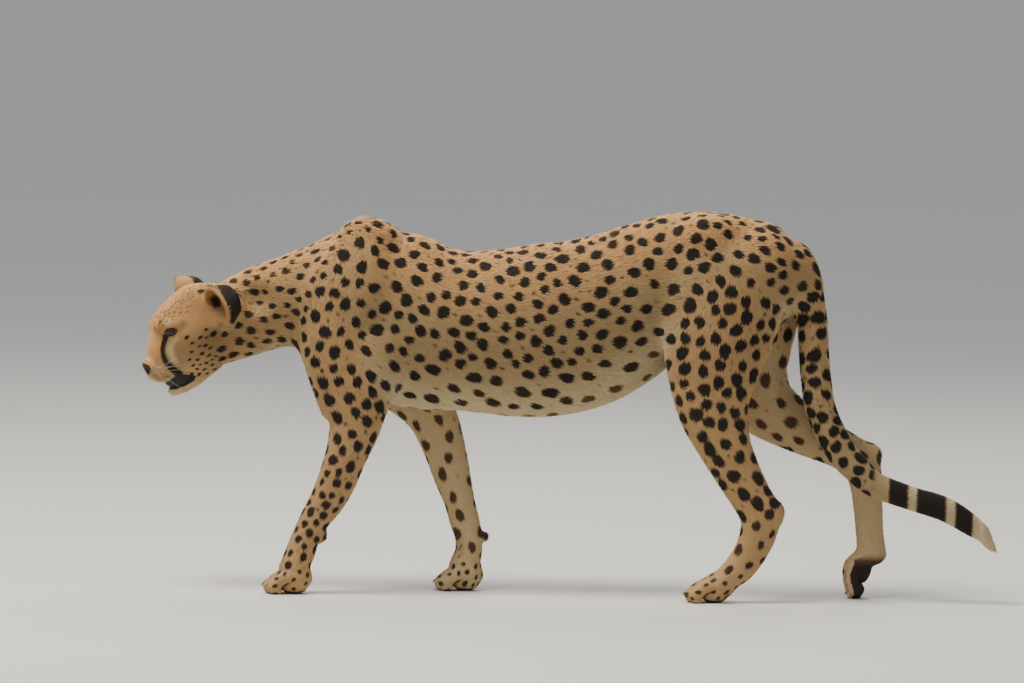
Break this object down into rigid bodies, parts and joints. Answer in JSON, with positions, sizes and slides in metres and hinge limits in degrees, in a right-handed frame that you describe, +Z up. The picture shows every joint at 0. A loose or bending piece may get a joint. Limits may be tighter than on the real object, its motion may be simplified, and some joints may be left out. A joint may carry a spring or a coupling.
{
  "type": "cheetah",
  "caption": "Life-size still model of a walking spotted cat with its head held low and turned to its left, resting on its four paws.",
  "frame": {"origin": "on the floor under the middle of the model's bounding box", "axes": "+Z up, the animal walks towards -X, its left side faces -Y"},
  "size_m": [1.5198, 0.2188, 0.6941],
  "materials": {
    "coat": "short golden fur with black spots and a pale underside",
    "eye": "wet and glossy",
    "claw": "dark horn"
  },
  "bodies": {
    "root": {"belly": "coat", "chest": "coat", "claw_fore_left_1": "claw", "claw_fore_left_2": "claw", "claw_fore_left_3": "claw", "claw_fore_left_4": "claw", "claw_fore_left_dew": "claw", "claw_fore_right_1": "claw", "claw_fore_right_2": "claw", "claw_fore_right_3": "claw", "claw_fore_right_4": "claw", "claw_fore_right_dew": "claw", "claw_hind_left_1": "claw", "claw_hind_left_2": "claw", "claw_hind_left_3": "claw", "claw_hind_left_4": "claw", "claw_hind_right_1": "claw", "claw_hind_right_2": "claw", "claw_hind_right_3": "claw", "claw_hind_right_4": "claw", "ear_left": "coat", "ear_right": "coat", "eye_left": "eye", "eye_right": "eye", "foreleg_left": "coat", "foreleg_right": "coat", "forepaw_left": "coat", "forepaw_right": "coat", "head": "coat", "hindpaw_left": "coat", "hindpaw_right": "coat", "hips": "coat", "neck": "coat", "shank_left": "coat", "shank_right": "coat", "tail_base": "coat", "tail_end": "coat", "tail_middle": "coat", "thigh_left": "coat", "thigh_right": "coat"}
  },
  "joints": []
}
